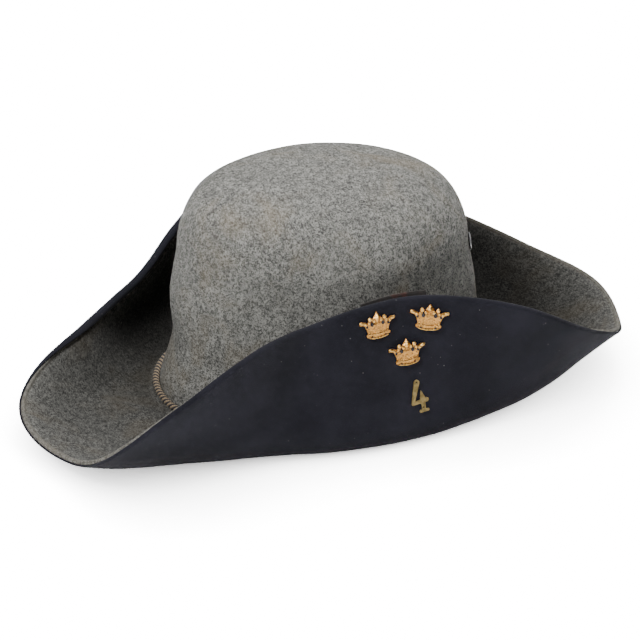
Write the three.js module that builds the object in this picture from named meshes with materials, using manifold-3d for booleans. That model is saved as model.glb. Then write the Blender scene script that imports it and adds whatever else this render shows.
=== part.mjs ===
// Cocked felt hat: a tall round crown and a wide brim turned up in a long flap on each side.
// Millimetres, +Z up. X runs from corner to corner with the raised corner at +X, the badges
// are on the -Y flap, and the origin is under the hat's middle, on the surface it rests on.

import * as THREE from 'three';
import * as BufferGeometryUtils from 'three/addons/utils/BufferGeometryUtils.js';
import Module from 'manifold-3d';

const wasm = await Module();
wasm.setup();

// Felt, the facing under the brim, and the play between pieces that touch
const FELT_THICKNESS = 3;
const FACING_THICKNESS = 1;
const PLAY = 0.3;
const FACING_SETBACK = 0.4;

// Crown, measured over the felt at the foot, its height above the brim, and how much its top
// rises towards -X and falls towards +X
const CROWN_LENGTH = 221;
const CROWN_WIDTH = 189;
const CROWN_HEIGHT = 149;
const CROWN_TILT = 2.2;

// Brim, and the flat ring next to the crown that the hat stands on
const BRIM_WIDTH = 110;
const SEAT_RING = 6;

// Cord round the foot of the crown
const CORD_DIAMETER = 4.6;

// Crown badges on the near flap
const BADGE_WIDTH = 25;
const BADGE_HEIGHT = 18;
const BADGE_PLATE = 1.2;
const PEARL_DIAMETER = 1.6;
const BADGE_HOLE = 1.1;

// Numeral below the badges
const NUMERAL_WIDTH = 13;
const NUMERAL_HEIGHT = 22;
const NUMERAL_PLATE = 0.9;
const NUMERAL_STROKE = 3.4;
const NUMERAL_HOLE = 1.3;

// Vent eyelet through the crown's side
const EYELET_FLANGE = 12;
const EYELET_BARREL = 6.4;
const EYELET_BORE = 4.6;
const EYELET_SHEET = 0.8;
const EYELET_BEARING = 336;
const EYELET_SHARE = 0.503;

// Patch behind the badges, on the felt side of the flap, standing a little above its edge
const PATCH_WIDTH = 44;
const PATCH_DEPTH = 34;
const PATCH_RISE = 4;
const PATCH_THICKNESS = 1;
const PATCH_BEARING = 271.3;
const PATCH_PLAY = 0.6;

// Mesh steps round the hat and along the felt
const AROUND = 50;
const CROWN_STEPS = 16;
const BRIM_STEPS = 11;
const BRIM_CROWDING = 1.35;
const CORD_SIDES = 8;
const EYELET_SIDES = 12;
const HOLE_SIDES = 6;
const CURVE_SIDES = 3;
const SEAT_SHARE = 0.06;
const NORMAL_STEP = 0.0004;

// Crown outline from the top centre to the foot: out is a share of the foot's half length
// or half width, up a share of the crown's height
const crownRows = [
  { out: 0.0, up: 1.0 },
  { out: 0.224, up: 0.995 },
  { out: 0.422, up: 0.981 },
  { out: 0.58, up: 0.956 },
  { out: 0.7, up: 0.916 },
  { out: 0.783, up: 0.864 },
  { out: 0.836, up: 0.798 },
  { out: 0.869, up: 0.72 },
  { out: 0.885, up: 0.633 },
  { out: 0.907, up: 0.535 },
  { out: 0.928, up: 0.437 },
  { out: 0.934, up: 0.34 },
  { out: 0.928, up: 0.253 },
  { out: 0.945, up: 0.175 },
  { out: 0.976, up: 0.097 },
  { out: 1.0, up: 0.038 },
  { out: 1.0, up: 0.0 },
];

// Dents pressed into the crown: bearing and spread in degrees, up and tall as shares of the
// crown's height, depth as a share of its half width; a negative depth is a bulge. Dents die
// out below DENT_CLEAR, a share of the crown's height, so that the foot stays an even oval.
const DENT_CLEAR = 0.08;
const dentRows = [
  { bearing: 172, up: 0.3, depth: 0.026, spread: 26, tall: 0.1 },
  { bearing: 196, up: 0.1, depth: -0.016, spread: 24, tall: 0.08 },
  { bearing: 336, up: 0.84, depth: 0.01, spread: 30, tall: 0.1 },
  { bearing: 338, up: 0.22, depth: -0.022, spread: 24, tall: 0.12 },
  { bearing: 250, up: 0.62, depth: 0.012, spread: 30, tall: 0.16 },
  { bearing: 60, up: 0.5, depth: 0.014, spread: 34, tall: 0.18 },
];

// Brim sections at equal bearings from +X: flat is how far the brim first lies flat past the
// seat ring, roll is the length of the bend after it and reach the whole length, as shares of
// the brim's width; turn is how far the section turns up in degrees
const brimRows = [
  { flat: 0, turn: 32, roll: 0.69, reach: 0.917 },
  { flat: 0, turn: 41, roll: 0.71, reach: 0.88 },
  { flat: 0, turn: 63, roll: 0.58, reach: 0.89 },
  { flat: 0, turn: 86, roll: 0.41, reach: 1.01 },
  { flat: 0, turn: 89, roll: 0.32, reach: 1.09 },
  { flat: 0, turn: 92, roll: 0.32, reach: 1.045 },
  { flat: 0, turn: 98, roll: 0.33, reach: 0.87 },
  { flat: 0, turn: 98.8, roll: 0.39, reach: 0.638 },
  { flat: 0, turn: 72.9, roll: 0.52, reach: 0.631 },
  { flat: 0.135, turn: 28.4, roll: 0.83, reach: 0.932 },
  { flat: 0.21, turn: 26.9, roll: 0.94, reach: 0.999 },
  { flat: 0.067, turn: 52, roll: 0.625, reach: 1.175 },
  { flat: 0, turn: 98.3, roll: 0.36, reach: 0.954 },
  { flat: 0, turn: 99.9, roll: 0.24, reach: 0.99 },
  { flat: 0, turn: 98.5, roll: 0.24, reach: 1.002 },
  { flat: 0.01, turn: 78.9, roll: 0.36, reach: 1.024 },
  { flat: 0.048, turn: 56.2, roll: 0.465, reach: 0.919 },
  { flat: 0, turn: 32, roll: 0.6, reach: 0.875 },
];

// Badges on the flap: bearing and lean in degrees, share is how far out along the brim, play
// how far the flat back lies off the curved cloth
const badgeRows = [
  { name: 'crown_badge_left', bearing: 264.6, share: 0.889, lean: 3, play: 0.6 },
  { name: 'crown_badge_right', bearing: 281.9, share: 0.892, lean: -10, play: 1.75 },
  { name: 'crown_badge_low', bearing: 273.8, share: 0.696, lean: 1, play: 1.4 },
];
const numeralRow = { name: 'numeral_four', bearing: 276.4, share: 0.424, lean: 4, play: 0.5 };

// Right half of a small crown's outline from the end of its rim up to its middle point:
// x is a share of its half width, y of its height
const badgeEdge = [
  { x: 0.6, y: 0.1 },
  { x: 0.67, y: 0.2 },
  { x: 0.58, y: 0.27 },
  { x: 0.68, y: 0.5 },
  { x: 0.78, y: 0.59 },
  { x: 1.0, y: 0.64 },
  { x: 0.84, y: 0.74 },
  { x: 0.62, y: 0.69 },
  { x: 0.5, y: 0.62 },
  { x: 0.47, y: 0.74 },
  { x: 0.37, y: 0.74 },
  { x: 0.32, y: 0.6 },
  { x: 0.23, y: 0.76 },
  { x: 0.1, y: 0.88 },
  { x: 0.0, y: 1.0 },
];

// Rim of a small crown: heights that its lower and upper curves bend towards
const badgeRim = { low: -0.08, high: 0.09 };

// Raised knobs of a small crown: size is a share of a pearl, long how much taller than wide
const badgeBosses = [
  { x: -0.45, y: 0.31, size: 1, long: 1, sides: 6 },
  { x: -0.23, y: 0.28, size: 1, long: 1, sides: 6 },
  { x: 0.0, y: 0.27, size: 1, long: 1, sides: 6 },
  { x: 0.23, y: 0.28, size: 1, long: 1, sides: 6 },
  { x: 0.45, y: 0.31, size: 1, long: 1, sides: 6 },
  { x: -0.42, y: 0.75, size: 1.3, long: 1, sides: 6 },
  { x: 0.42, y: 0.75, size: 1.3, long: 1, sides: 6 },
  { x: 0.0, y: 0.77, size: 2.4, long: 1.25, sides: 4 },
  { x: -0.82, y: 0.665, size: 1.3, long: 0.6, sides: 4 },
  { x: 0.82, y: 0.665, size: 1.3, long: 0.6, sides: 4 },
];

// Pierced holes of a small crown: size is a share of BADGE_HOLE
const badgeHoles = [
  { x: -0.36, y: 0.085, size: 0.8 },
  { x: 0.36, y: 0.085, size: 0.8 },
  { x: -0.27, y: 0.52, size: 1.1 },
  { x: 0.27, y: 0.52, size: 1.1 },
  { x: -0.56, y: 0.53, size: 0.8 },
  { x: 0.56, y: 0.53, size: 0.8 },
];

// Bars of the numeral: places are shares of its width and height from its middle, and start
// and end are the widths at the two ends as shares of the stroke
const numeralBars = [
  { x1: -0.34, y1: -0.19, x2: 0.0, y2: 0.42, start: 0.6, end: 1.15 },
  { x1: -0.34, y1: -0.19, x2: 0.4, y2: -0.15, start: 0.6, end: 0.85 },
  { x1: 0.16, y1: 0.14, x2: 0.2, y2: -0.06, start: 0.2, end: 1.0 },
  { x1: 0.2, y1: -0.06, x2: 0.2, y2: -0.4, start: 1.0, end: 0.75 },
  { x1: 0.02, y1: -0.46, x2: 0.4, y2: -0.46, start: 0.55, end: 0.55 },
];
const numeralHoles = [
  { x: 0.0, y: 0.42 },
  { x: 0.2, y: -0.36 },
];

// Colour, roughness and metalness of each finish
const finishes = {
  felt: { color: 0x8b8a84, roughness: 0.95, metalness: 0 },
  facing: { color: 0x1b1c25, roughness: 0.95, metalness: 0 },
  cord: { color: 0x8a7656, roughness: 0.9, metalness: 0 },
  brass: { color: 0xd9a044, roughness: 0.35, metalness: 1 },
  flatBrass: { color: 0xa58a4e, roughness: 0.5, metalness: 1 },
  eyelet: { color: 0x2c2a28, roughness: 0.5, metalness: 0.8 },
  patch: { color: 0x3a322b, roughness: 0.9, metalness: 0 },
};

const radians = THREE.MathUtils.degToRad;

// Height of the felt's upper face on the flat ring, so that the facing under it is at Z = 0
const seatHeight = FELT_THICKNESS + PLAY + FACING_THICKNESS;

const crownCurve = new THREE.SplineCurve(crownRows.map((row) => new THREE.Vector2(row.out, row.up)));

// Value of one column of the brim table at a bearing, by a closed Catmull-Rom curve
function brimValue(column, bearing) {
  const count = brimRows.length;
  const place = (bearing / (2 * Math.PI)) * count;
  const start = Math.floor(place);
  const part = place - start;
  const at = (step) => brimRows[(((start + step) % count) + count) % count][column];
  const slopeIn = (at(1) - at(-1)) / 2;
  const slopeOut = (at(2) - at(0)) / 2;
  const rise = at(1) - at(0);
  const bend = 3 * rise - 2 * slopeIn - slopeOut;
  const twist = slopeIn + slopeOut - 2 * rise;
  return at(0) + slopeIn * part + bend * part ** 2 + twist * part ** 3;
}

// Point of the crown's foot, moved outwards by out millimetres and up by up millimetres
function footPoint(bearing, out, up) {
  const across = Math.cos(bearing);
  const deep = Math.sin(bearing);
  const foot = new THREE.Vector2((CROWN_LENGTH / 2) * across, (CROWN_WIDTH / 2) * deep);
  const outward = new THREE.Vector2(across / CROWN_LENGTH, deep / CROWN_WIDTH);
  foot.addScaledVector(outward.normalize(), out);
  return new THREE.Vector3(foot.x, foot.y, seatHeight + up);
}

// How far the dents push the crown in at a bearing and a height share, in millimetres
function dentDepth(bearing, up) {
  let depth = 0;
  for (const dent of dentRows) {
    const turned = bearing - radians(dent.bearing);
    const apart = Math.atan2(Math.sin(turned), Math.cos(turned)) / radians(dent.spread);
    const above = (up - dent.up) / dent.tall;
    depth += dent.depth * (CROWN_WIDTH / 2) * Math.exp(-(apart ** 2) - above ** 2);
  }
  return depth;
}

// Outer face of the crown: share runs from 0 at the top centre to 1 at the foot
function crownPoint(bearing, share) {
  const outline = crownCurve.getPoint(share);
  const free = Math.min(outline.y / DENT_CLEAR, 1) ** 2;
  const inward = dentDepth(bearing, outline.y) * outline.x * free;
  const point = footPoint(bearing, 0, CROWN_HEIGHT * outline.y);
  const side = new THREE.Vector2(point.x, point.y).multiplyScalar(outline.x);
  side.setLength(Math.max(side.length() - inward, 0));
  const lower = CROWN_TILT * outline.y ** 2 * (side.x / (CROWN_LENGTH / 2));
  return new THREE.Vector3(side.x, side.y, point.z - lower);
}

// Upper face of the brim: share runs from 0 at the crown's foot to 1 at the cut edge
function brimPoint(bearing, share) {
  const reach = brimValue('reach', bearing) * BRIM_WIDTH;
  const roll = brimValue('roll', bearing) * BRIM_WIDTH;
  const radius = roll / radians(brimValue('turn', bearing));
  const onRing = (Math.min(share, SEAT_SHARE) / SEAT_SHARE) * SEAT_RING;
  const pastRing = Math.max((share - SEAT_SHARE) / (1 - SEAT_SHARE), 0) * (reach - SEAT_RING);
  const level = Math.min(pastRing, Math.max(brimValue('flat', bearing), 0) * BRIM_WIDTH);
  const bend = Math.min(pastRing - level, roll) / radius;
  const straight = Math.max(pastRing - level - roll, 0);
  const out = onRing + level + radius * Math.sin(bend) + straight * Math.cos(bend);
  const up = radius * (1 - Math.cos(bend)) + straight * Math.sin(bend);
  return footPoint(bearing, out, up);
}

// One sheet of felt: along runs from 0 at the crown's top, over 1 at the foot, to 2 at the edge
function feltPoint(bearing, along) {
  return along <= 1 ? crownPoint(bearing, along) : brimPoint(bearing, along - 1);
}

// Directions on the felt: round the hat, out along the felt, and square to its outer face
function feltDirections(bearing, along) {
  const inner = Math.max(along - NORMAL_STEP, 0);
  const out = feltPoint(bearing, along + NORMAL_STEP).sub(feltPoint(bearing, inner)).normalize();
  const before = feltPoint(bearing - NORMAL_STEP, Math.max(along, NORMAL_STEP));
  const round = feltPoint(bearing + NORMAL_STEP, Math.max(along, NORMAL_STEP)).sub(before).normalize();
  const square = out.clone().cross(round).normalize();
  return { out, round, square };
}

// Point of the felt sheet at a depth under its outer face; the crown's top centre is straight up
function sheetPoint(bearing, along, depth) {
  const square = along === 0 ? new THREE.Vector3(0, 0, 1) : feltDirections(bearing, along).square;
  return feltPoint(bearing, along).addScaledVector(square, -depth);
}

// Closed body from a geometry: shared corners joined and flat slivers taken out
function closedBody(geometry) {
  const bare = geometry.clone();
  for (const name of ['normal', 'uv']) {
    bare.deleteAttribute(name);
  }
  const merged = BufferGeometryUtils.mergeVertices(bare, 1e-4);
  const corners = merged.index.array;
  const kept = [];
  for (let i = 0; i < corners.length; i += 3) {
    const [a, b, c] = corners.subarray(i, i + 3);
    if (a !== b && b !== c && c !== a) {
      kept.push(a, b, c);
    }
  }
  merged.setIndex(kept);
  return merged;
}

// Round blank of a sheet between two depths: rows are how far along the felt its corners lie.
// Both faces are split along the same diagonals, so that the sheet keeps its thickness.
function sheetBlank(rows, near, far) {
  const face = (depth) => new THREE.LatheGeometry(rows.map((row) => new THREE.Vector2(row, -depth)), AROUND);
  const edge = (row, from, to) => {
    const ends = [new THREE.Vector2(row, -from), new THREE.Vector2(row, -to)];
    return new THREE.LatheGeometry(ends, AROUND);
  };
  const parts = [face(far), turnedOver(face(near)), edge(rows.at(-1), far, near)];
  if (rows[0] > 0) {
    parts.push(edge(rows[0], near, far));
  }
  return BufferGeometryUtils.mergeGeometries(parts);
}

function turnedOver(geometry) {
  const corners = geometry.index.array;
  for (let i = 0; i < corners.length; i += 3) {
    [corners[i + 1], corners[i + 2]] = [corners[i + 2], corners[i + 1]];
  }
  return geometry;
}

function sheetCorner(bearing, along, up) {
  return sheetPoint(bearing, along, -up);
}

// A round blank whose every corner is moved by shape, which takes its bearing, radius and height
function blocked(blank, shape) {
  const corners = blank.attributes.position;
  for (let i = 0; i < corners.count; i += 1) {
    const radius = Math.hypot(corners.getX(i), corners.getZ(i));
    const bearing = Math.atan2(corners.getX(i), corners.getZ(i));
    const point = shape(bearing, radius, corners.getY(i));
    corners.setXYZ(i, point.x, point.y, point.z);
  }
  return closedBody(blank);
}

// Solids for cutting and joining
function solidOf(geometry) {
  const body = closedBody(geometry);
  return new wasm.Manifold(new wasm.Mesh({
    numProp: 3,
    vertProperties: new Float32Array(body.attributes.position.array),
    triVerts: new Uint32Array(body.index.array),
  }));
}

function geometryOf(solid) {
  const mesh = solid.getMesh();
  const geometry = new THREE.BufferGeometry();
  geometry.setAttribute('position', new THREE.BufferAttribute(new Float32Array(mesh.vertProperties), 3));
  geometry.setIndex(new THREE.BufferAttribute(new Uint32Array(mesh.triVerts), 1));
  return geometry;
}

function joined(geometries) {
  return geometries.map(solidOf).reduce((whole, next) => whole.add(next));
}

function pieceOf(name, geometry, finish) {
  const mesh = new THREE.Mesh(geometry, new THREE.MeshStandardMaterial(finishes[finish]));
  mesh.name = name;
  return mesh;
}

// Frame on the felt: X round the hat, Y out along the felt, Z square to the side that depth is on
function feltFrame(bearing, along, depth, lean) {
  const { out, square } = feltDirections(bearing, along);
  const facing = depth > 0 ? square.negate() : square;
  const side = out.clone().cross(facing);
  const frame = new THREE.Matrix4().makeBasis(side, out, facing);
  frame.setPosition(feltPoint(bearing, along).addScaledVector(facing, Math.abs(depth)));
  return frame.multiply(new THREE.Matrix4().makeRotationZ(radians(lean)));
}

// How far along the felt the faced part of the brim has its corners, from the seat ring's edge
// to the edge of the facing, closer together in the bend
function facedRows() {
  const end = 1 - FACING_SETBACK / BRIM_WIDTH;
  const rows = [];
  for (let i = 0; i <= BRIM_STEPS; i += 1) {
    const part = (i / BRIM_STEPS) ** BRIM_CROWDING;
    rows.push(1 + SEAT_SHARE + (end - SEAT_SHARE) * part);
  }
  return rows;
}

// Crown and brim: one sheet of felt, cut for the eyelet
function feltBody() {
  const rows = [];
  for (let i = 0; i <= CROWN_STEPS; i += 1) {
    rows.push(i / CROWN_STEPS);
  }
  const sheet = blocked(sheetBlank([...rows, ...facedRows(), 2], 0, FELT_THICKNESS), sheetCorner);
  const holeRadius = EYELET_BARREL / 2 + PLAY;
  const hole = new THREE.CylinderGeometry(holeRadius, holeRadius, 4 * FELT_THICKNESS, EYELET_SIDES);
  hole.rotateX(Math.PI / 2).applyMatrix4(eyeletFrame());
  return pieceOf('felt_body', geometryOf(solidOf(sheet).subtract(solidOf(hole))), 'felt');
}

// Cloth facing under the brim, from the head opening to just inside the cut edge
function brimFacing() {
  const near = FELT_THICKNESS + PLAY;
  const blank = sheetBlank([1 + SEAT_SHARE / 4, ...facedRows()], near, near + FACING_THICKNESS);
  return pieceOf('brim_facing', blocked(blank, sheetCorner), 'facing');
}

// Cord lying in the corner between the crown's foot and the brim
function hatCord() {
  const radius = CORD_DIAMETER / 2;
  const ring = [];
  for (let i = 0; i <= CORD_SIDES; i += 1) {
    const angle = (i / CORD_SIDES) * 2 * Math.PI;
    ring.push(new THREE.Vector2(CORD_DIAMETER + radius * Math.cos(angle), radius * Math.sin(angle)));
  }
  const centre = radius + PLAY;
  const shape = (bearing, out, up) => footPoint(bearing, out - CORD_DIAMETER + centre, up + centre);
  return pieceOf('hat_cord', blocked(new THREE.LatheGeometry(ring, AROUND), shape), 'cord');
}

// Outline of a small crown, from its lower rim round to the three upper points
function badgeOutline() {
  const half = BADGE_WIDTH / 2;
  const shape = new THREE.Shape();
  const first = badgeEdge[0];
  shape.moveTo(-first.x * half, first.y * BADGE_HEIGHT);
  shape.quadraticCurveTo(0, badgeRim.low * BADGE_HEIGHT, first.x * half, first.y * BADGE_HEIGHT);
  for (const corner of badgeEdge.slice(1)) {
    shape.lineTo(corner.x * half, corner.y * BADGE_HEIGHT);
  }
  for (const corner of badgeEdge.slice(1, -1).reverse()) {
    shape.lineTo(-corner.x * half, corner.y * BADGE_HEIGHT);
  }
  return shape;
}

// Raised rim along the lower edge of a small crown
function badgeRimOutline() {
  const half = BADGE_WIDTH / 2;
  const [low, high] = [badgeEdge[0], badgeEdge[1]];
  const shape = new THREE.Shape();
  shape.moveTo(-low.x * half, low.y * BADGE_HEIGHT);
  shape.quadraticCurveTo(0, badgeRim.low * BADGE_HEIGHT, low.x * half, low.y * BADGE_HEIGHT);
  shape.lineTo(high.x * half, high.y * BADGE_HEIGHT);
  shape.quadraticCurveTo(0, badgeRim.high * BADGE_HEIGHT, -high.x * half, high.y * BADGE_HEIGHT);
  return shape;
}

function plateOf(shape, thickness) {
  const options = { depth: thickness, bevelEnabled: false, curveSegments: CURVE_SIDES };
  return new THREE.ExtrudeGeometry(shape, options);
}

// Round pin through a plate at a place in the plane, for a hole
function holeAt(diameter, x, y, depth) {
  const pin = new THREE.CylinderGeometry(diameter / 2, diameter / 2, depth, HOLE_SIDES);
  return pin.rotateX(Math.PI / 2).translate(x, y, depth / 2 - BADGE_PLATE);
}

// One small cast crown, its lower edge at y = 0 and its back at z = 0
function badgeGeometry() {
  const half = BADGE_WIDTH / 2;
  const rimHeight = BADGE_PLATE + PEARL_DIAMETER / 3;
  const raised = [plateOf(badgeOutline(), BADGE_PLATE), plateOf(badgeRimOutline(), rimHeight)];
  for (const boss of badgeBosses) {
    const size = (boss.size * PEARL_DIAMETER) / 2;
    const knob = new THREE.SphereGeometry(size, boss.sides, 4).rotateX(Math.PI / 2);
    knob.scale(1, boss.long, 0.8).translate(boss.x * half, boss.y * BADGE_HEIGHT, BADGE_PLATE);
    raised.push(knob);
  }
  let crown = joined(raised);
  for (const hole of badgeHoles) {
    const pin = holeAt(BADGE_HOLE * hole.size, hole.x * half, hole.y * BADGE_HEIGHT, 4 * BADGE_PLATE);
    crown = crown.subtract(solidOf(pin));
  }
  return geometryOf(crown).translate(0, -BADGE_HEIGHT / 2, 0);
}

// Bar of a figure between two points, with round ends
function barOutline(bar) {
  const from = new THREE.Vector2(bar.x1 * NUMERAL_WIDTH, bar.y1 * NUMERAL_HEIGHT);
  const to = new THREE.Vector2(bar.x2 * NUMERAL_WIDTH, bar.y2 * NUMERAL_HEIGHT);
  const angle = Math.atan2(to.y - from.y, to.x - from.x);
  const shape = new THREE.Shape();
  shape.absarc(to.x, to.y, (bar.end * NUMERAL_STROKE) / 2, angle - Math.PI / 2, angle + Math.PI / 2);
  shape.absarc(from.x, from.y, (bar.start * NUMERAL_STROKE) / 2, angle + Math.PI / 2, angle + 1.5 * Math.PI);
  return shape;
}

// Flat sheet numeral four, drilled at the head and the foot
function numeralGeometry() {
  let figure = joined(numeralBars.map((bar) => plateOf(barOutline(bar), NUMERAL_PLATE)));
  for (const hole of numeralHoles) {
    const pin = holeAt(NUMERAL_HOLE, hole.x * NUMERAL_WIDTH, hole.y * NUMERAL_HEIGHT, 4 * NUMERAL_PLATE);
    figure = figure.subtract(solidOf(pin));
  }
  return geometryOf(figure);
}

// A piece pinned flat on the facing of the flap
function onFlap(row, geometry, finish) {
  const piece = pieceOf(row.name, geometry, finish);
  const depth = seatHeight + row.play;
  piece.applyMatrix4(feltFrame(radians(row.bearing), 1 + row.share, depth, row.lean));
  return piece;
}

function eyeletFrame() {
  return feltFrame(radians(EYELET_BEARING), EYELET_SHARE, 0, 0);
}

// Rolled eyelet: a flange on each side of the felt and a barrel through it
function ventEyelet() {
  const [bore, barrel, flange] = [EYELET_BORE / 2, EYELET_BARREL / 2, EYELET_FLANGE / 2];
  const under = -FELT_THICKNESS - 2 * PLAY;
  const profile = [
    new THREE.Vector2(bore, under - EYELET_SHEET),
    new THREE.Vector2(flange, under - EYELET_SHEET),
    new THREE.Vector2(flange, under),
    new THREE.Vector2(barrel, under),
    new THREE.Vector2(barrel, PLAY),
    new THREE.Vector2(flange, PLAY),
    new THREE.Vector2(flange - EYELET_SHEET / 3, PLAY + EYELET_SHEET),
    new THREE.Vector2(bore + EYELET_SHEET, PLAY + EYELET_SHEET),
    new THREE.Vector2(bore, PLAY),
  ];
  profile.push(profile[0].clone());
  const ring = closedBody(new THREE.LatheGeometry(profile, EYELET_SIDES)).rotateX(Math.PI / 2);
  const piece = pieceOf('vent_eyelet', ring, 'eyelet');
  piece.applyMatrix4(eyeletFrame());
  return piece;
}

// Patch that backs the badges: a sheet laid on the felt side, standing above the cut edge
function badgeBacking() {
  const bearing = radians(PATCH_BEARING);
  const left = feltPoint(bearing - NORMAL_STEP, 2);
  const perTurn = feltPoint(bearing + NORMAL_STEP, 2).distanceTo(left) / (2 * NORMAL_STEP);
  const perShare = (brimValue('reach', bearing) * BRIM_WIDTH - SEAT_RING) / (1 - SEAT_SHARE);
  const sheet = new THREE.BoxGeometry(PATCH_WIDTH, PATCH_DEPTH, PATCH_THICKNESS, 6, 4, 1);
  sheet.translate(0, PATCH_RISE - PATCH_DEPTH / 2, PATCH_PLAY + PATCH_THICKNESS / 2);
  const corners = sheet.attributes.position;
  for (let i = 0; i < corners.count; i += 1) {
    const turned = bearing - corners.getX(i) / perTurn;
    const point = sheetPoint(turned, 2 + corners.getY(i) / perShare, -corners.getZ(i));
    corners.setXYZ(i, point.x, point.y, point.z);
  }
  return pieceOf('badge_backing', closedBody(sheet), 'patch');
}

const hat = new THREE.Group();
hat.add(feltBody());
hat.add(brimFacing());
hat.add(hatCord());
for (const row of badgeRows) {
  hat.add(onFlap(row, badgeGeometry(), 'brass'));
}
hat.add(onFlap(numeralRow, numeralGeometry(), 'flatBrass'));
hat.add(ventEyelet());
hat.add(badgeBacking());

// The origin goes under the middle of the hat
const middle = new THREE.Box3().setFromObject(hat, true).getCenter(new THREE.Vector3());
hat.position.set(-middle.x, -middle.y, 0);

export default hat;
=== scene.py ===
"""Felt cocked hat: a grey crown, a brim turned up in two long flaps and faced with dark cloth."""

import math

import bmesh
import bpy
import numpy as np
from mathutils import Matrix, Vector, noise


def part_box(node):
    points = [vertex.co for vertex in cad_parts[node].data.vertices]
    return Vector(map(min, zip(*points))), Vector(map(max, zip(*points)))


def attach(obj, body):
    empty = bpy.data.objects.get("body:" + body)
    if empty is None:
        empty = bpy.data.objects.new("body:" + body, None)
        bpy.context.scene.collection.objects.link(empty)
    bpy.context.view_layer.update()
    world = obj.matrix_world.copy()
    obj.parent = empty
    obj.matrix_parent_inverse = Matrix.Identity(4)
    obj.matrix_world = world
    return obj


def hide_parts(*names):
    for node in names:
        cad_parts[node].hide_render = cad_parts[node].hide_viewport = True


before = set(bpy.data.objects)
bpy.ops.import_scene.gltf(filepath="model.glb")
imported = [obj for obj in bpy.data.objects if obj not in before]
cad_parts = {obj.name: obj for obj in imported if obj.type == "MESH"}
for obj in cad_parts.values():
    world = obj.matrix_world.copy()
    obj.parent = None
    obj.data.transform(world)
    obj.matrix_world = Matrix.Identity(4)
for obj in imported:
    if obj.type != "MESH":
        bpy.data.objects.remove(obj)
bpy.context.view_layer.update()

bl_info = {
    "name": "Felt Cocked Hat",
    "version": (1, 0, 0),
    "blender": (4, 5, 0),
    "location": "View3D > Sidebar > Cocked Hat",
    "description": "Builds a felt cocked hat with a faced brim, twisted cord and brass badges",
    "category": "Add Mesh",
}

MM = 0.001
BODY = "root"

# Shape of the blocked felt, in millimetres
CROWN_LENGTH = 221
CROWN_WIDTH = 189
CROWN_HEIGHT = 149
CROWN_TILT = 2.2
BRIM_WIDTH = 110
SEAT_RING = 6
SEAT_SHARE = 0.06
SEAT_HEIGHT = 4.3
NORMAL_STEP = 0.0004

# Crown outline from the top centre to the foot, as shares of the foot's half size and the height
CROWN_ROWS = [
    (0.0, 1.0), (0.224, 0.995), (0.422, 0.981), (0.58, 0.956), (0.7, 0.916), (0.783, 0.864),
    (0.836, 0.798), (0.869, 0.72), (0.885, 0.633), (0.907, 0.535), (0.928, 0.437), (0.934, 0.34),
    (0.928, 0.253), (0.945, 0.175), (0.976, 0.097), (1.0, 0.038), (1.0, 0.0),
]

# Dents in the crown: bearing, height share, depth share, spread in degrees, height spread;
# they die out below a height share, so that the foot stays an even oval
DENT_CLEAR = 0.08
DENT_ROWS = [
    (172, 0.3, 0.026, 26, 0.1), (196, 0.1, -0.016, 24, 0.08), (336, 0.84, 0.01, 30, 0.1),
    (338, 0.22, -0.022, 24, 0.12), (250, 0.62, 0.012, 30, 0.16), (60, 0.5, 0.014, 34, 0.18),
]

# Brim sections every 20 degrees from +X: turn in degrees, and as shares of the brim's width
# the length of the bend, the whole reach and how far the brim first lies flat
BRIM_ROWS = np.array([
    (32, 0.69, 0.917, 0), (41, 0.71, 0.88, 0), (63, 0.58, 0.89, 0),
    (86, 0.41, 1.01, 0), (89, 0.32, 1.09, 0), (92, 0.32, 1.045, 0),
    (98, 0.33, 0.87, 0), (98.8, 0.39, 0.638, 0), (72.9, 0.52, 0.631, 0),
    (28.4, 0.83, 0.932, 0.135), (26.9, 0.94, 0.999, 0.21), (52, 0.625, 1.175, 0.067),
    (98.3, 0.36, 0.954, 0), (99.9, 0.24, 0.99, 0), (98.5, 0.24, 1.002, 0),
    (78.9, 0.36, 1.024, 0.01), (56.2, 0.465, 0.919, 0.048), (32, 0.6, 0.875, 0),
])
TURN, ROLL, REACH, FLAT = range(4)

# The middle of the crown's foot is the middle of the cord that lies round it
CORD_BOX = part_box("hat_cord")
FOOT_CENTRE = np.array([*((CORD_BOX[0] + CORD_BOX[1]) / 2).xy, 0.0]) / MM


# The felt's surface, in millimetres; bearings and shares are arrays

def eased(part, before, here, after, beyond):
    """Between two rows of a table, by a Catmull-Rom curve through them and their neighbours."""
    slope_in, slope_out, rise = (after - before) / 2, (beyond - here) / 2, after - here
    bend = 3 * rise - 2 * slope_in - slope_out
    twist = slope_in + slope_out - 2 * rise
    return here + slope_in * part + bend * part**2 + twist * part**3


def round_value(rows, bearing):
    """A table that goes round the hat, at some bearings."""
    count = len(rows)
    place = bearing / (2 * math.pi) * count
    start = np.floor(place).astype(int)
    return eased(place - start, *(rows[(start + k) % count] for k in (-1, 0, 1, 2)))


def crown_outline(share):
    """Points of the crown's outline at some shares of its length."""
    rows = np.array(CROWN_ROWS)
    last = len(rows) - 1
    place = np.clip(share, 0, 1) * last
    start = np.minimum(np.floor(place).astype(int), last)
    ends = (rows[np.clip(start + k, 0, last)] for k in (-1, 0, 1, 2))
    return eased((place - start)[:, None], *ends)


def foot_point(bearing, out, up):
    """Points out and up from the crown's foot."""
    across, deep = np.cos(bearing), np.sin(bearing)
    outward = np.stack([across / CROWN_LENGTH, deep / CROWN_WIDTH], -1)
    outward /= np.linalg.norm(outward, axis=-1, keepdims=True)
    x = CROWN_LENGTH / 2 * across + outward[:, 0] * out
    y = CROWN_WIDTH / 2 * deep + outward[:, 1] * out
    return np.stack([x, y, SEAT_HEIGHT + up], -1)


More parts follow.
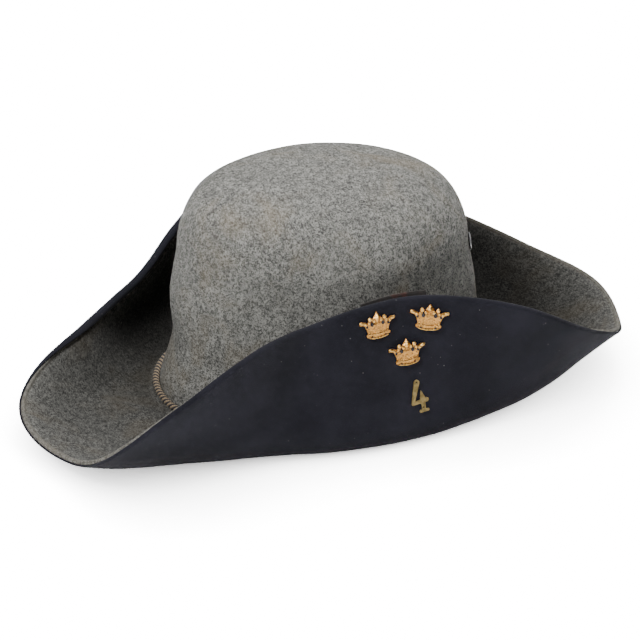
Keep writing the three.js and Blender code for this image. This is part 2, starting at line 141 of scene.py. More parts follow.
def dent_depth(bearing, up):
    """How far the dents push the crown in."""
    depth = np.zeros_like(bearing)
    for middle, height, deep, spread, tall in DENT_ROWS:
        turned = bearing - math.radians(middle)
        apart = np.arctan2(np.sin(turned), np.cos(turned)) / math.radians(spread)
        above = (up - height) / tall
        depth += deep * (CROWN_WIDTH / 2) * np.exp(-(apart**2) - above**2)
    return depth


def crown_point(bearing, share):
    """Outer face of the crown, from its top centre at 0 to its foot at 1."""
    outline = crown_outline(share)
    free = np.minimum(outline[:, 1] / DENT_CLEAR, 1) ** 2
    inward = dent_depth(bearing, outline[:, 1]) * outline[:, 0] * free
    point = foot_point(bearing, 0, CROWN_HEIGHT * outline[:, 1])
    side = point[:, :2] * outline[:, :1]
    length = np.linalg.norm(side, axis=-1)
    side *= (np.maximum(length - inward, 0) / np.maximum(length, 1e-9))[:, None]
    lower = CROWN_TILT * outline[:, 1] ** 2 * side[:, 0] / (CROWN_LENGTH / 2)
    return np.column_stack([side, point[:, 2] - lower])


def brim_point(bearing, share):
    """Upper face of the brim, from the crown's foot at 0 to the cut edge at 1."""
    reach = round_value(BRIM_ROWS[:, REACH], bearing) * BRIM_WIDTH
    roll = round_value(BRIM_ROWS[:, ROLL], bearing) * BRIM_WIDTH
    radius = roll / np.radians(round_value(BRIM_ROWS[:, TURN], bearing))
    on_ring = np.minimum(share, SEAT_SHARE) / SEAT_SHARE * SEAT_RING
    past_ring = np.maximum((share - SEAT_SHARE) / (1 - SEAT_SHARE), 0) * (reach - SEAT_RING)
    flat = np.maximum(round_value(BRIM_ROWS[:, FLAT], bearing), 0) * BRIM_WIDTH
    level = np.minimum(past_ring, flat)
    bend = np.minimum(past_ring - level, roll) / radius
    straight = np.maximum(past_ring - level - roll, 0)
    out = on_ring + level + radius * np.sin(bend) + straight * np.cos(bend)
    up = radius * (1 - np.cos(bend)) + straight * np.sin(bend)
    return foot_point(bearing, out, up)


def felt_point(bearing, along):
    """The whole sheet: 0 at the top of the crown, 1 at its foot, 2 at the brim's cut edge."""
    on_crown = (along <= 1)[:, None]
    return np.where(on_crown, crown_point(bearing, along), brim_point(bearing, along - 1))


def brim_length(bearing):
    """Length of the brim past its seat ring, for each whole share of it, in millimetres."""
    reach = round_value(BRIM_ROWS[:, REACH], bearing) * BRIM_WIDTH
    return (reach - SEAT_RING) / (1 - SEAT_SHARE)


def felt_directions(bearing, along):
    """Directions out along the felt and square to its outer face."""
    inner = np.maximum(along - NORMAL_STEP, 0)
    beside = np.maximum(along, NORMAL_STEP)
    out = felt_point(bearing, along + NORMAL_STEP) - felt_point(bearing, inner)
    turn = felt_point(bearing + NORMAL_STEP, beside) - felt_point(bearing - NORMAL_STEP, beside)
    square = np.cross(out, turn)
    lengths = np.linalg.norm(square, axis=-1, keepdims=True)
    return out / np.linalg.norm(out, axis=-1, keepdims=True), square / lengths


# Waves that hand blocking leaves in the felt: breadth and height of the broad and the small
# ones, where the small ones start, and how close to the crown's foot they die out
BROAD_WAVE = (46.0, 0.75)
SMALL_WAVE = (15.0, 0.22)
SMALL_START = Vector((7.0, 3.0, 1.0))
EVEN_FOOT = 0.12


def unevenness(points, along):
    """How far hand blocking leaves the felt off its even shape."""
    lift = np.empty(len(points))
    for i, (point, place) in enumerate(zip(points, along)):
        broad = noise.noise(Vector(point) / BROAD_WAVE[0])
        small = noise.noise(Vector(point) / SMALL_WAVE[0] + SMALL_START)
        near_foot = 1 - math.exp(-(((place - 1) / EVEN_FOOT) ** 2))
        lift[i] = (BROAD_WAVE[1] * broad + SMALL_WAVE[1] * small) * near_foot
    return lift


def sheet_point(bearing, along, depth):
    """Points at a depth under the felt's outer face, in metres in the hat's frame."""
    face = felt_point(bearing, along)
    _, square = felt_directions(bearing, along)
    square = np.where((along == 0)[:, None], [0.0, 0.0, 1.0], square)
    lift = unevenness(face, along)[:, None]
    return (face + square * (lift - depth[:, None]) + FOOT_CENTRE) * MM


def along_sheet(bearing, rows):
    """How far along the felt the rows of a section lie. A row holds a fixed place, a share of
    the brim's free width, and millimetres past the place, in its first three columns."""
    length = brim_length(bearing)
    free = 1 - SEAT_SHARE - EDGE_ZONE / length
    return rows[:, 0] + rows[:, 1] * free + rows[:, 2] / length


# Meshes

def wrapped(name, columns, section, place):
    """A grid that goes round the hat and is closed on itself; section gives each of its rows,
    and place gives the points, their distances from the cut edge and the painted shade on them."""
    rows = len(section) - 1
    bm = bmesh.new()
    bm.loops.layers.uv.new("UVMap")
    bmesh.ops.create_grid(bm, x_segments=columns, y_segments=rows, size=1.0, calc_uvs=True)
    flat = np.array([vert.co for vert in bm.verts])
    column = np.rint((flat[:, 0] + 1) / 2 * columns)
    row = np.rint((flat[:, 1] + 1) / 2 * rows).astype(int)
    moved, distance, painted_shade = place(column / columns * 2 * math.pi, np.array(section, float)[row])
    from_edge = bm.verts.layers.float.new("from_edge")
    # Painted shade of each vertex, read by the felt's finish
    painted_shading = bm.verts.layers.float.new("painted_shade")
    for vert, point, gap, shade_share in zip(bm.verts, moved, distance, painted_shade):
        vert.co = point
        vert[from_edge] = gap
        vert[painted_shading] = shade_share
    bmesh.ops.remove_doubles(bm, verts=bm.verts, dist=1e-6)
    bmesh.ops.dissolve_degenerate(bm, edges=bm.edges, dist=1e-7)
    bmesh.ops.recalc_face_normals(bm, faces=bm.faces)
    return finished(name, bm)


def finished(name, bm, smooth=True):
    """A mesh object at the origin, from a bmesh whose place is in its vertices."""
    mesh = bpy.data.meshes.new(name)
    for face in bm.faces:
        face.smooth = smooth
    bm.to_mesh(mesh)
    bm.free()
    piece = bpy.data.objects.new(name, mesh)
    bpy.context.scene.collection.objects.link(piece)
    return piece


def dressed(piece, material, slot, *nodes):
    """Gives a piece its finish and hides the nodes it stands for; the slot is not used."""
    piece.data.materials.clear()
    piece.data.materials.append(material)
    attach(piece, BODY)
    if nodes:
        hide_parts(*nodes)
    return piece


# Shader maths

class Wire:
    """A node's output that sums can be written on."""

    def __init__(self, shader, socket):
        self.shader = shader
        self.socket = socket

    def _sum(self, operation, *values):
        sockets = dict(enumerate(values))
        return self.shader.node("ShaderNodeMath", {"operation": operation}, sockets)

    def __add__(self, other):
        return self._sum("ADD", self, other)

    def __radd__(self, other):
        return self._sum("ADD", other, self)

    def __sub__(self, other):
        return self._sum("SUBTRACT", self, other)

    def __rsub__(self, other):
        return self._sum("SUBTRACT", other, self)

    def __mul__(self, other):
        return self._sum("MULTIPLY", self, other)

    def __rmul__(self, other):
        return self._sum("MULTIPLY", other, self)

    def __pow__(self, other):
        return self._sum("POWER", self, other)

    def within(self, low, high, soft=True):
        """0 below low and 1 above high, with an eased or a straight slope between them."""
        kind = "SMOOTHSTEP" if soft else "LINEAR"
        ends = {"Value": self, "From Min": low, "From Max": high}
        return self.shader.node("ShaderNodeMapRange", {"interpolation_type": kind}, ends)

    def wave(self):
        return self._sum("SINE", self)


class Shader:
    """A material and the one method that adds its nodes."""

    def __init__(self, name):
        self.material = bpy.data.materials.new(name)
        self.material.use_nodes = True
        self.tree = self.material.node_tree
        self.tree.nodes.clear()
        self.place = self.node("ShaderNodeTexCoord", {}, {}, "Object")

    def node(self, kind, settings, values, output=0):
        made = self.tree.nodes.new(kind)
        for name, value in settings.items():
            setattr(made, name, value)
        for name, value in values.items():
            if isinstance(value, Wire):
                self.tree.links.new(value.socket, made.inputs[name])
            else:
                made.inputs[name].default_value = value
        return Wire(self, made.outputs[output]) if made.outputs else None

    def noise(self, scale, detail=2.0, rough=0.5, place=None, warp=0.0):
        values = {"Vector": place or self.place, "Scale": scale, "Detail": detail}
        values.update({"Roughness": rough, "Distortion": warp})
        return self.node("ShaderNodeTexNoise", {}, values)

    def cells(self, place, scale):
        """Distance to the nearest of scattered points."""
        values = {"Vector": place, "Scale": scale, "Randomness": 1.0}
        return self.node("ShaderNodeTexVoronoi", {"feature": "F1"}, values, "Distance")

    def stretched(self, turn, size):
        values = {"Vector": self.place, "Rotation": turn, "Scale": size}
        return self.node("ShaderNodeMapping", {}, values)

    def colour(self, amount, first, second, mode="MIX"):
        settings = {"data_type": "RGBA", "blend_type": mode}
        values = {0: amount, 6: first, 7: second}
        return self.node("ShaderNodeMix", settings, values, 2)

    def attribute(self, name):
        return self.node("ShaderNodeAttribute", {"attribute_name": name}, {}, "Fac")

    def bump(self, height, distance, strength=1.0):
        values = {"Height": height, "Distance": distance, "Strength": strength}
        return self.node("ShaderNodeBump", {}, values)

    def surface(self, **values):
        """Closes the material with its main shader."""
        named = {key.replace("_", " "): value for key, value in values.items()}
        shader = self.node("ShaderNodeBsdfPrincipled", {}, named, "BSDF")
        self.node("ShaderNodeOutputMaterial", {}, {"Surface": shader})
        return self.material


def rgb(red, green, blue):
    return (red, green, blue, 1.0)


# Tints of the finishes, besides the colours that a user would change

WOOL_PALE = rgb(0.62, 0.61, 0.56)
WOOL_BLACK = rgb(0.045, 0.045, 0.045)
WOOL_BLOTCH = rgb(0.09, 0.09, 0.085)
WOOL_STAIN = rgb(0.25, 0.2, 0.13)
WOOL_EDGE = rgb(0.36, 0.33, 0.27)
# Painted shade: the dark tint multiplied into the felt towards the crown's foot and over the brim
PAINTED_SHADE_TINT = rgb(0.06, 0.059, 0.057)
NAP_TINT = rgb(0.034, 0.036, 0.05)
LINT_TINT = rgb(0.26, 0.26, 0.25)
HAIR_TINT = rgb(0.3, 0.29, 0.26)
BUFF_THREAD = (rgb(0.42, 0.33, 0.22), rgb(0.22, 0.16, 0.1))
DARK_THREAD = (rgb(0.06, 0.05, 0.05), rgb(0.02, 0.02, 0.025))
# Painted shade: the dark that the gilt fades to on and near the plate
GILT_PAINTED_SHADE = rgb(0.36, 0.135, 0.026)
GILT_PIT = rgb(0.012, 0.007, 0.004)
BRASS_TARNISH = rgb(0.15, 0.11, 0.045)
BRASS_EDGE = rgb(0.72, 0.56, 0.27)
LACQUER = (rgb(0.018, 0.018, 0.02), rgb(0.12, 0.1, 0.08))
LEATHER = (rgb(0.016, 0.015, 0.014), rgb(0.05, 0.044, 0.04))
LEATHER_RUB = rgb(0.12, 0.04, 0.028)
PAPER = rgb(0.9, 0.9, 0.9)
WHITE = rgb(1.0, 1.0, 1.0)


# Waves of a thread's plies, along it and round it
PLY_ALONG, PLY_ROUND = 4200.0, 18.85


# Finishes. Noise scales are in turns per metre, and bump distances in metres.

def felt_finish(colours):
    """Grey wool felt of mixed light and dark fibres, darkened by painted shade, paler along its
    edge.
    """
    shader = Shader("grey_felt")
    place = shader.stretched((0.3, 0.2, 0.5), (1.0, 0.5, 0.7))
    fibres = shader.noise(1250.0, 2.0, 0.7, place, 1.0)
    place = shader.stretched((1.2, 0.9, 2.1), (1.0, 0.5, 0.7))
    strands = shader.noise(1450.0, 2.0, 0.7, place, 1.0)
    curl = shader.noise(620.0, 4.0, 0.75, warp=1.5)
    mottle = shader.noise(270.0, 6.0, 0.8, warp=0.8)
    mixed = fibres * 0.29 + strands * 0.23 + curl * 0.2 + mottle * 0.28
    pale = fibres.within(0.58, 0.7) * curl.within(0.4, 0.6)
    dark = strands.within(0.58, 0.7) * curl.within(0.42, 0.62)
    blotch = shader.noise(60.0, 6.0, 0.7).within(0.38, 0.66)
    stain = shader.noise(19.0, 4.0, 0.55, warp=0.8).within(0.48, 0.72)
    painted_shading = shader.attribute("painted_shade")
    paler = 1 - shader.attribute("from_edge").within(2.2, 4.5)
    ends = tuple(colours.felt_dark), tuple(colours.felt_light)
    colour = shader.colour(mixed.within(0.44, 0.575), *ends)
    colour = shader.colour(pale * 0.6, colour, WOOL_PALE)
    colour = shader.colour(dark * 0.65, colour, WOOL_BLACK)
    colour = shader.colour(blotch * 0.22, colour, WOOL_BLOTCH)
    colour = shader.colour(stain * 0.34, colour, WOOL_STAIN)
    # Painted shade: darkens the felt towards the crown's foot and over the brim
    colour = shader.colour(painted_shading * 0.97, colour, PAINTED_SHADE_TINT, "MULTIPLY")
    colour = shader.colour(paler * 0.2, colour, WOOL_EDGE)
    height = mixed + pale * 0.3
    return shader.surface(
        Base_Color=colour,
        Roughness=0.95,
        Specular_IOR_Level=0.05,
        Sheen_Weight=0.04,
        Sheen_Roughness=0.5,
        Normal=shader.bump(height, 0.0006, 0.9),
    )


# Loose hairs on the cloth: the way they lie, and their scale
HAIR_LAYS = (((0.2, 0.9, 0.5), 70.0), ((1.4, 0.3, 2.0), 85.0))


def facing_finish(colours):
    """Dark navy cloth with a short nap, faded in places and dusted with lint and hairs."""
    shader = Shader("navy_cloth")
    nap = shader.noise(1400.0, 3.0, 0.6)
    cloud = shader.noise(26.0, 3.0, 0.5).within(0.3, 0.75)
    specks = 1 - shader.cells(shader.place, 230.0).within(0.04, 0.12)
    lint = specks * shader.noise(330.0, 0.0).within(0.6, 0.64)
    hairs = None
    for turn, scale in HAIR_LAYS:
        lines = shader.cells(shader.stretched(turn, (1.0, 0.09, 1.0)), scale)
        place = shader.stretched(turn, (1.0, 1.0, 1.3))
        picked = shader.noise(90.0, 1.0, 0.5, place).within(0.59, 0.63)
        hair = (1 - lines.within(0.012, 0.03)) * picked
        hairs = hair if hairs is None else hairs + hair
    colour = shader.colour(cloud, tuple(colours.cloth_dark), tuple(colours.cloth_light))
    colour = shader.colour(nap.within(0.55, 0.8) * 0.35, colour, NAP_TINT)
    colour = shader.colour(lint * 0.4, colour, LINT_TINT)
    colour = shader.colour(hairs * 0.3, colour, HAIR_TINT)
    return shader.surface(
        Base_Color=colour,
        Roughness=0.95,
        Specular_IOR_Level=0.1,
        Sheen_Weight=0.12,
        Sheen_Roughness=0.4,
        Normal=shader.bump(nap, 0.0004, 0.7),
    )


def cord_finish(name, first, second):
    """One strand of thread, with its plies running round it."""
    shader = Shader(name)
    place = {"Vector": shader.node("ShaderNodeUVMap", {"uv_map": "UVMap"}, {})}
    around = shader.node("ShaderNodeSeparateXYZ", {}, place, "X")
    across = shader.node("ShaderNodeSeparateXYZ", {}, place, "Y")
    plies = (around * PLY_ALONG + across * PLY_ROUND).wave() * 0.5 + 0.5
    fuzz = shader.noise(900.0, 2.0)
    colour = shader.colour(plies * 0.7 + fuzz * 0.3, first, second)
    return shader.surface(
        Base_Color=colour,
        Roughness=0.85,
        Specular_IOR_Level=0.2,
        Sheen_Weight=0.15,
        Normal=shader.bump(plies, 0.0002, 0.6),
    )


def gilt_finish(colours):
    """Cast brass, bright on the high places, with painted shade towards the plate, darkest in the
    hollows.
    """
    shader = Shader("gilt_brass")
    relief = shader.attribute("relief")
    grain = shader.noise(900.0, 3.0, 0.6)
    # Painted shade: the gilt darkens from its high places down to the plate
    wear_and_shade = relief.within(0.5, 0.92, soft=False) * 0.8 + grain * 0.4 - 0.04
    hollow = shader.attribute("hollow")
    colour = shader.colour(wear_and_shade, GILT_PAINTED_SHADE, tuple(colours.gilt))
    colour = shader.colour(hollow, colour, GILT_PIT)
    return shader.surface(
        Base_Color=colour,
        Metallic=1 - hollow,
        Roughness=grain * 0.2 + 0.18,
        Normal=shader.bump(grain + shader.noise(300.0, 2.0) * 2.0, 0.0003, 0.9),
    )


def sheet_brass_finish(colours):
    """Flat brass sheet, dulled by handling."""
    shader = Shader("flat_brass")
    cloud = shader.noise(320.0, 4.0, 0.6).within(0.35, 0.7)
    grain = shader.noise(1100.0, 2.0)
    wear_and_shade = shader.attribute("relief")
    colour = shader.colour(cloud * 0.7, tuple(colours.sheet_brass), BRASS_TARNISH)
    colour = shader.colour(wear_and_shade * 0.6, colour, BRASS_EDGE)
    return shader.surface(
        Base_Color=colour,
        Metallic=1.0,
        Roughness=cloud * 0.15 + 0.38,
        Normal=shader.bump(grain, 0.00012, 0.5),
    )


def eyelet_finish():
    """Black lacquered metal, rubbed at its rim."""
    shader = Shader("dark_eyelet")
    rub = shader.noise(600.0, 3.0, 0.6).within(0.55, 0.72)
    colour = shader.colour(rub * 0.6, *LACQUER)
    return shader.surface(Base_Color=colour, Metallic=0.6, Roughness=rub * 0.2 + 0.32)


def patch_finish():
    """Thin dark brown leather, dry and rubbed."""
    shader = Shader("brown_patch")
    grain = shader.noise(800.0, 4.0, 0.65)
    rub = shader.noise(90.0, 3.0).within(0.58, 0.7)
    colour = shader.colour(grain, *LEATHER)
    colour = shader.colour(rub * 0.5, colour, LEATHER_RUB)
    return shader.surface(
        Base_Color=colour, Roughness=0.85, Normal=shader.bump(grain, 0.0003, 0.8)
    )


def floor_finish():
    """Plain white studio paper that glows evenly, with a painted shadow close to what stands on
    it.
    """
    shader = Shader("studio_paper")
    values = {"Distance": 0.09, "Color": WHITE}
    # Painted shadow: the floor's glow dims close to what stands on it
    painted_contact_shadow = shader.node("ShaderNodeAmbientOcclusion", {"samples": 5}, values, "AO")
    glow = painted_contact_shadow ** 1.3 * FLOOR_GLOW
    return shader.surface(
        Base_Color=PAPER,
        Roughness=0.9,
        Specular_IOR_Level=0.1,
        Emission_Color=WHITE,
        Emission_Strength=glow,
    )


# What a user would change

def colour_prop(name, description, default):
    return bpy.props.FloatVectorProperty(
        name=name, description=description, default=default, size=4, min=0.0, max=1.0,
        subtype="COLOR",
    )


class HatSizes(bpy.types.PropertyGroup):
    """Thicknesses and mesh steps of the hat."""

    felt_thickness: bpy.props.FloatProperty(
        name="Felt thickness", description="Thickness of the felt",
        default=3.0 * MM, min=1 * MM, max=6 * MM, unit="LENGTH",
    )
    facing_thickness: bpy.props.FloatProperty(
        name="Facing thickness", description="Thickness of the cloth under the brim",
        default=1.0 * MM, min=0.5 * MM, max=2 * MM, unit="LENGTH",
    )
    play: bpy.props.FloatProperty(
        name="Play", description="Gap between pieces that touch",
        default=0.3 * MM, min=0.0, max=1 * MM, unit="LENGTH",
    )
    edge_setback: bpy.props.FloatProperty(
        name="Edge setback", description="From the felt's cut edge to the edge of the facing",
        default=0.4 * MM, min=0.0, max=10 * MM, unit="LENGTH",
    )
    cord_diameter: bpy.props.FloatProperty(
        name="Cord diameter", description="Diameter over the twisted strands",
        default=4.6 * MM, min=2 * MM, max=8 * MM, unit="LENGTH",
    )
    cord_turns: bpy.props.IntProperty(
        name="Cord turns", description="Full turns that the strands make round each other",
        default=74, min=20, max=200,
    )
    columns: bpy.props.IntProperty(
        name="Mesh columns", description="Mesh steps round the hat", default=288, min=52, max=512,
    )


class HatColours(bpy.types.PropertyGroup):
    """Main colours of the hat."""

    felt_light: colour_prop("Felt light", "Pale fibres of the felt", (0.42, 0.415, 0.385, 1.0))
    felt_dark: colour_prop("Felt dark", "Dark fibres of the felt", (0.062, 0.062, 0.058, 1.0))
    cloth_light: colour_prop("Cloth light", "Faded facing cloth", (0.021, 0.0207, 0.029, 1.0))
    cloth_dark: colour_prop("Cloth dark", "Deep facing cloth", (0.013, 0.013, 0.018, 1.0))
    gilt: colour_prop("Gilt", "Cast badges", (1.0, 0.6, 0.19, 1.0))
    sheet_brass: colour_prop("Sheet brass", "Flat numeral", (0.33, 0.245, 0.105, 1.0))


# The rows next to the cut edge keep their distance from it, in millimetres
EDGE_ZONE = 8.0
EDGE_CORNER = 1.25

# Soft groove behind the cut edge, where the stitches pull: distance from the edge and depth
GROOVE = (
    (6.4, 0.03), (5.6, 0.14), (4.8, 0.36), (4.1, 0.62), (3.5, 0.74), (3.0, 0.66), (2.5, 0.4),
    (2.1, 0.16), (1.7, 0.03),
)

# How far the facing is folded over the cut edge, every 20 degrees from +X: 1 is all the way
WRAP_ROWS = np.array([
    0.05, 0.05, 0.15, 0.75, 1.0, 1.0, 1.0, 1.0, 0.95, 0.35, 0.15, 0.4, 0.55, 0.7, 0.7, 0.5,
    0.3, 0.12,
])
WRAP_LEAST = 0.04
WRAP_INSIDE = 1.6

# How much painted shade darkens the felt from the top of the crown, over its foot at 1, to the
# brim
PAINTED_SHADE_ALONG = (0.0, 0.5, 0.9, 1.0, 1.1)
PAINTED_SHADE_DEPTH = (0.0, 0.0, 0.12, 0.7, 1.0)

# The brim's painted shade every 20 degrees from +X: near the crown and at the cut edge
PAINTED_SHADE_ROWS = np.array([
    (0.96, 0.62), (1.0, 0.86), (1.0, 0.97), (1.0, 0.97), (1.0, 0.95), (1.0, 0.9), (1.0, 0.65),
    (1.0, 0.55), (0.9, 0.5), (0.75, 0.5), (0.66, 0.5), (0.66, 0.5), (0.7, 0.7), (0.7, 0.7),
    (0.7, 0.7), (0.7, 0.6), (0.78, 0.5), (0.88, 0.5),
])
PAINTED_SHADE_FADE = (1.5, 2.0)

# Mesh steps along the crown, the seat ring, the brim and the cloth's fold, the degrees between
# the rows round a cut edge, and how many rows of the outside the inside and hidden side skip
CROWN_STEPS = 84
RING_STEPS = 5
FACING_RING_STEPS = 3
BRIM_STEPS = 52
FOLD_STEPS = 16
EDGE_TURN = 15
INSIDE_SKIP = 3
HIDDEN_SKIP = 2

# The facing: where its inner edge lies along the felt, how far that edge bulges, and the
# distances of its last rows from the felt's cut edge
FACING_START = 1 + SEAT_SHARE / 4
FACING_BULGE = 0.3
FACING_EDGE = (6.0, 4.0, 2.5)

# Rows deeper than this are on the inside of the felt, in millimetres
INSIDE_DEPTH = 2


# Sections of the two sheets. Each row holds its fixed place along the felt, its share of the
# brim's free width, millimetres past that place, and its depth under the felt's outer face.

def brim_rows():
    """Even steps over the brim's free width, from the seat ring to the edge zone."""
    return [(1 + SEAT_SHARE, i / BRIM_STEPS, 0.0) for i in range(BRIM_STEPS + 1)]


def felt_section(sizes):
    """Rows from the top of the crown over its outside, round the cut edge and back inside."""
    thick = sizes.felt_thickness / MM
    crown = [(i / CROWN_STEPS, 0.0, 0.0) for i in range(CROWN_STEPS + 1)]
    ring = [(1 + SEAT_SHARE * i / RING_STEPS, 0.0, 0.0) for i in range(1, RING_STEPS)]
    face = crown + ring + brim_rows()
    outside = [(*row, 0.0) for row in face]
    edge = [(2.0, 0.0, -far, depth) for far, depth in GROOVE]
    for turn in range(-90, 91, EDGE_TURN):
        angle = math.radians(turn)
        past = EDGE_CORNER * (math.cos(angle) - 1)
        middle = EDGE_CORNER if turn < 0 else thick - EDGE_CORNER
        if turn == 0:
            edge.append((2.0, 0.0, past, EDGE_CORNER))
        edge.append((2.0, 0.0, past, middle + EDGE_CORNER * math.sin(angle)))
    inside = [(*row, thick) for row in reversed(face[::INSIDE_SKIP])]
    return outside + edge + inside


def felt_place(bearing, rows):
    along = along_sheet(bearing, rows)
    inside = rows[:, 3] > INSIDE_DEPTH
    distance = np.where(inside, 0.0, (2 - along) * brim_length(bearing))
    # Painted shade, set near the crown and at the cut edge and blended across the brim
    inner, edge = (round_value(PAINTED_SHADE_ROWS[:, k], bearing) for k in (0, 1))
    outward = np.interp(along, PAINTED_SHADE_FADE, (0.0, 1.0)) ** 2
    painted_shade = np.interp(along, PAINTED_SHADE_ALONG, PAINTED_SHADE_DEPTH) * (inner + (edge - inner) * outward)
    return sheet_point(bearing, along, rows[:, 3]), distance, painted_shade


def fold_path(gap, thick):
    """Corners of the cloth's way over the cut edge: past the edge and depth, with lengths."""
    path = []
    for turn in range(0, 91, EDGE_TURN):
        angle = math.radians(turn)
        reach = EDGE_CORNER + gap
        past = reach * math.sin(angle) - EDGE_CORNER
        path.append((past, thick - EDGE_CORNER + reach * math.cos(angle)))
    for past, depth in reversed(path[:]):
        path.append((past, thick - depth))
    path.append((-EDGE_CORNER - WRAP_INSIDE, -gap))
    return np.array(path)


def facing_section(sizes):
    """Rows round the facing: out on its hidden side, over the folded edge, back on its face.
    The last column is above zero on the rows of the fold, as a share of its way."""
    near = (sizes.felt_thickness + sizes.play) / MM
    far = near + sizes.facing_thickness / MM
    ring_step = (1 + SEAT_SHARE - FACING_START) / FACING_RING_STEPS
    ring = [(FACING_START + ring_step * i, 0.0, 0.0) for i in range(FACING_RING_STEPS)]
    face = ring + brim_rows()
    face += [(2.0, 0.0, -past) for past in FACING_EDGE]
    hidden = [(*row, near, 0.0) for row in face[::HIDDEN_SKIP]]
    shown = [(*row, far, 0.0) for row in reversed(face)]
    way = [i / FOLD_STEPS for i in range(1, FOLD_STEPS + 1)]
    under = [(2.0, 0.0, 0.0, near, share) for share in way]
    over = [(2.0, 0.0, 0.0, far, share) for share in reversed(way)]
    middle = (FACING_START, 0.0, -FACING_BULGE, (near + far) / 2, 0.0)
    return [*hidden, *under, *over, *shown, middle, hidden[0]]


def facing_place(sizes):
    """The facing's own place function, with its fold over the cut edge."""
    thick = sizes.felt_thickness / MM
    near = thick + sizes.play / MM
    far = near + sizes.facing_thickness / MM

    def place(bearing, rows):
        past, depth = rows[:, 2].copy(), rows[:, 3].copy()
        wrap = np.clip(round_value(WRAP_ROWS, bearing), WRAP_LEAST, 1.0)
        for level in (near, far):
            path = fold_path(level - thick, thick)
            steps = np.linalg.norm(np.diff(path, axis=0), axis=1)
            walked = np.concatenate([[0], np.cumsum(steps)])
            folded = (rows[:, 4] > 0) & (rows[:, 3] == level)
            at = rows[folded, 4] * wrap[folded] * walked[-1]
            past[folded] = np.interp(at, walked, path[:, 0])
            depth[folded] = np.interp(at, walked, path[:, 1])
        moved = np.column_stack([rows[:, 0], rows[:, 1], past])
        along = along_sheet(bearing, moved)
        distance = (2 - along) * brim_length(bearing)
        return sheet_point(bearing, along, depth), distance, np.zeros(len(along))

    return place


# Operators: one for each piece or group of like pieces

def sizes_of(context):
    return context.scene.hat_sizes


def colours_of(context):
    return context.scene.hat_colours


class HAT_OT_felt(bpy.types.Operator):
    """Add the crown and brim, one sheet of blocked felt"""

    bl_idname = "hat.felt"
    bl_label = "Felt Body"

    def execute(self, context):
        sizes = sizes_of(context)
        piece = wrapped("felt_shell", sizes.columns, felt_section(sizes), felt_place)
        dressed(piece, felt_finish(colours_of(context)), "grey_felt", "felt_body")
        return {"FINISHED"}


class HAT_OT_facing(bpy.types.Operator):
    """Add the dark cloth facing under the brim"""

    bl_idname = "hat.facing"
    bl_label = "Brim Facing"

    def execute(self, context):
        sizes = sizes_of(context)
        section = facing_section(sizes)
        piece = wrapped("facing_cloth", sizes.columns, section, facing_place(sizes))
        dressed(piece, facing_finish(colours_of(context)), "navy_cloth", "brim_facing")
        return {"FINISHED"}


class HAT_OT_cord(bpy.types.Operator):
    """Add the twisted cord round the foot of the crown"""

    bl_idname = "hat.cord"
    bl_label = "Twisted Cord"

    STRANDS = 4
    SIDES = 8
    COLUMNS_PER_TURN = 12
    THREAD_SHARE = 0.44

    def execute(self, context):
        sizes = sizes_of(context)
        whole = sizes.cord_diameter / MM / 2
        thread = whole * self.THREAD_SHARE
        centre = whole + sizes.play / MM
        buff = cord_finish("buff_thread", *BUFF_THREAD)
        dark = cord_finish("dark_thread", *DARK_THREAD)
        for strand in range(self.STRANDS):
            start = strand / self.STRANDS * 2 * math.pi

            def place(bearing, rows):
                lay = bearing * sizes.cord_turns + start
                angle = rows[:, 0] * 2 * math.pi
                reach = whole - thread
                out = reach * np.cos(lay) + thread * np.cos(angle)
                up = reach * np.sin(lay) + thread * np.sin(angle)
                points = foot_point(bearing, centre + out, centre + up) + FOOT_CENTRE
                return points * MM, np.zeros(len(points)), np.zeros(len(points))

            section = [(i / self.SIDES, 0.0) for i in range(self.SIDES + 1)]
            columns = sizes.cord_turns * self.COLUMNS_PER_TURN
            piece = wrapped(f"cord_strand_{strand + 1}", columns, section, place)
            dressed(piece, dark if strand % 2 else buff, "twisted_cord", "hat_cord")
        return {"FINISHED"}


def felt_frame(bearing, along, depth, lean):
    """Frame on the felt: Y out along it, Z square to it on the side that depth is on."""
    place = np.array([math.radians(bearing)]), np.array([along])
    out, square = felt_directions(*place)
    facing = Vector(-square[0] if depth > 0 else square[0])
    up = Vector(out[0])
    face = Vector(felt_point(*place)[0] + FOOT_CENTRE) + facing * abs(depth)
    basis = Matrix((up.cross(facing), up, facing)).transposed().to_4x4()
    turned = Matrix.Translation(face) @ basis @ Matrix.Rotation(math.radians(lean), 4, "Z")
    return Matrix.Scale(MM, 4) @ turned


# Small crowns: bearing, share of the brim, lean and how far the flat back lies off the cloth
BADGES = (
    ("crown_badge_left", 264.6, 0.889, 3, 0.6),
    ("crown_badge_right", 281.9, 0.892, -10, 1.75),
    ("crown_badge_low", 273.8, 0.696, 1, 1.4),
)

# A crown's half width and height, how far its top is past its place, its plate's thickness and
# bevel, and the height over the plate that the gilt's painted shade is scaled to
BADGE_SIZE = np.array([12.4, 17.3])
BADGE_TOP = 9.0
BADGE_PLATE = 1.2
BADGE_BEVEL = 0.3
BADGE_RELIEF = 0.9

# Right half of the outline, from the end of the rim up to the middle point, as shares of size
BADGE_EDGE = (
    (0.6, 0.1), (0.67, 0.2), (0.58, 0.27), (0.68, 0.5), (0.78, 0.59), (1.0, 0.64), (0.84, 0.74),
    (0.62, 0.69), (0.5, 0.62), (0.47, 0.74), (0.37, 0.74), (0.32, 0.6), (0.23, 0.76),
    (0.1, 0.88), (0.0, 1.0),
)
BADGE_FOOT = ((-0.4, 0.045), (-0.2, 0.02), (0.0, 0.012), (0.2, 0.02), (0.4, 0.045))

